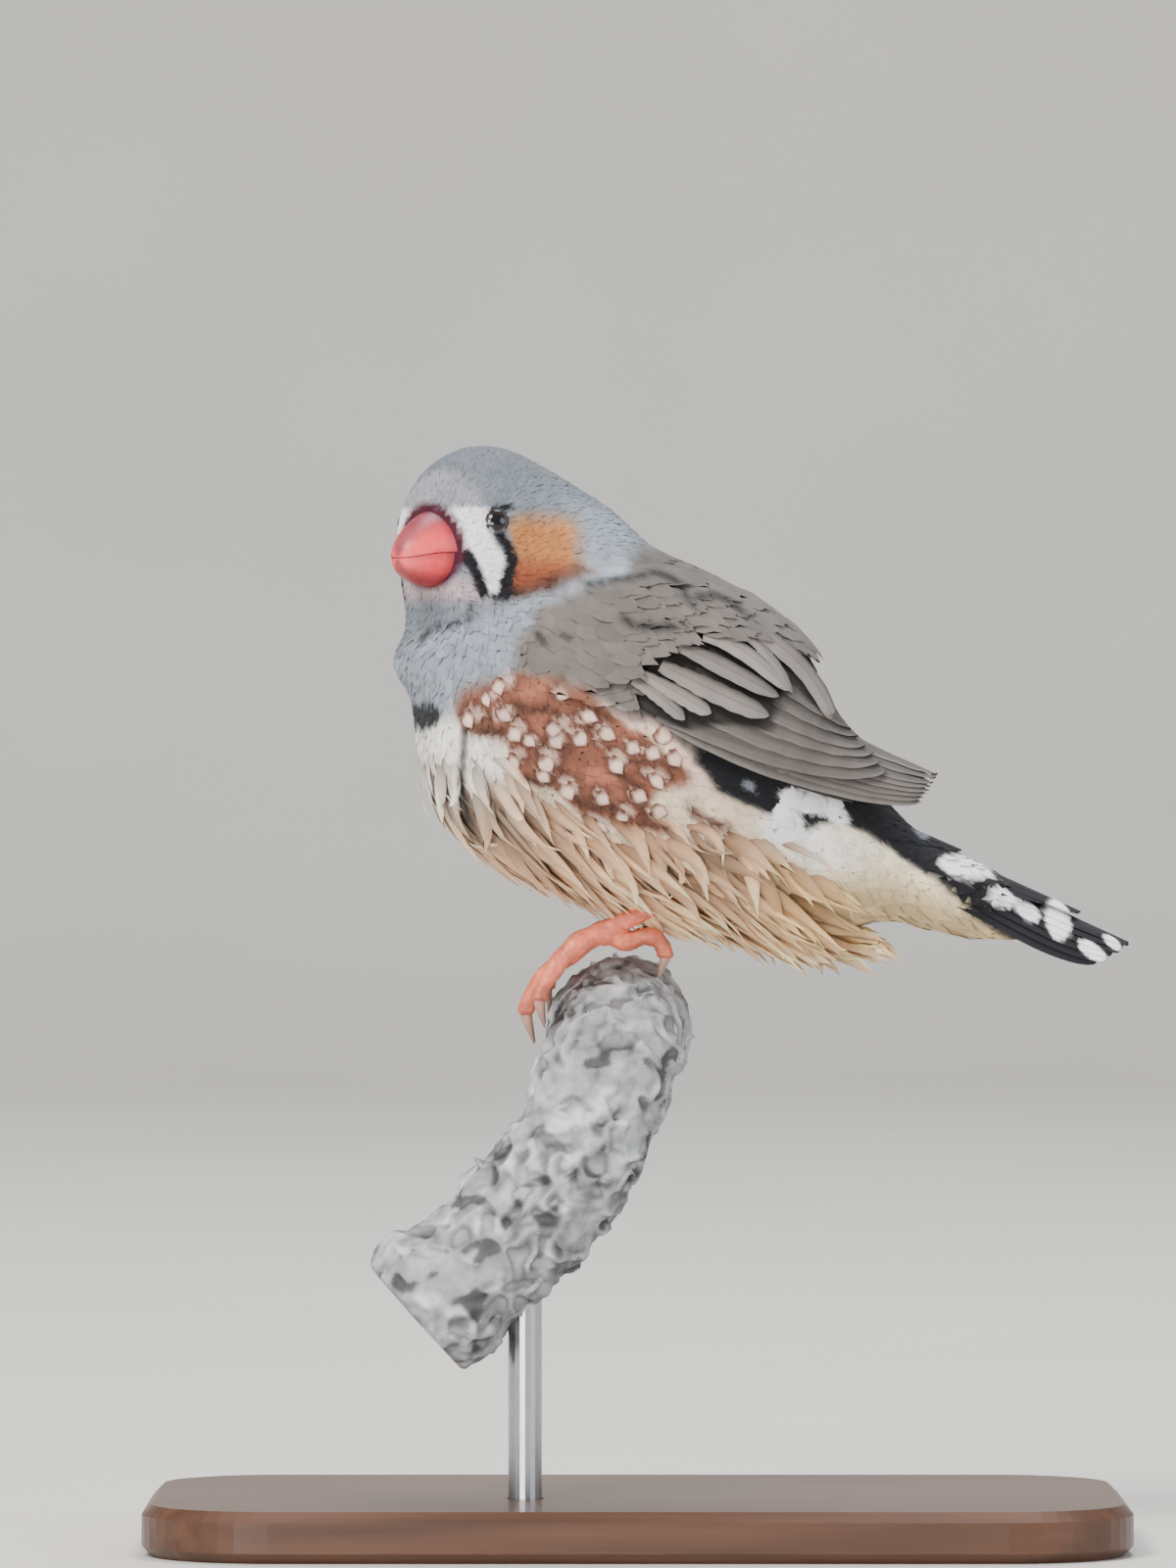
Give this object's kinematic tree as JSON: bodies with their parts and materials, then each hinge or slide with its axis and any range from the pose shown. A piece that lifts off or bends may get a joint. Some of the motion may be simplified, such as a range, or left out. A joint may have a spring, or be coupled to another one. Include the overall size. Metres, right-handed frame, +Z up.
{
  "type": "zebra finch display model",
  "caption": "Small perching bird with a short conical bill, folded wings and a tapering tail, gripping a cut branch on a plain display stand.",
  "frame": {"origin": "middle of the flat underside of the stand's base", "axes": "+Z up; the bird faces -X and its left side is towards -Y, with the head turned about 50 degrees to its left"},
  "size_m": [0.1167, 0.066, 0.1302],
  "materials": {
    "plumage_grey": "soft blue-grey head, throat and breast feathers, with white lore, black tear lines and an orange cheek",
    "plumage_cream": "loose cream and buff belly feathers, with a chestnut, white-spotted flank",
    "plumage_brown": "grey-brown wing feathers with pale fringes",
    "plumage_black": "black tail feathers with bold white bars",
    "bill": "waxy coral red, darker at the ridge and the base",
    "eye": "wet dark red-brown",
    "foot_skin": "salmon-orange scaled skin",
    "claw": "horn, pale brown with a darker tip",
    "bark": "rough grey bark crusted with pale lichen and dark pits",
    "stand_wood": "stained hardwood, satin lacquer",
    "stand_metal": "brushed rod"
  },
  "bodies": {
    "root": {"head": "plumage_grey", "neck": "plumage_grey", "bill_upper": "bill", "bill_lower": "bill", "eye_left": "eye", "eye_right": "eye", "torso": "plumage_cream", "wing_left": "plumage_brown", "wing_right": "plumage_brown", "tail": "plumage_black", "leg_left": "foot_skin", "leg_right": "foot_skin", "foot_left": "foot_skin", "foot_right": "foot_skin", "claw_left_1": "claw", "claw_left_2": "claw", "claw_left_3": "claw", "claw_left_4": "claw", "claw_right_1": "claw", "claw_right_2": "claw", "claw_right_3": "claw", "claw_right_4": "claw", "perch_branch": "bark", "stand_base": "stand_wood", "stand_rod": "stand_metal"}
  },
  "joints": []
}
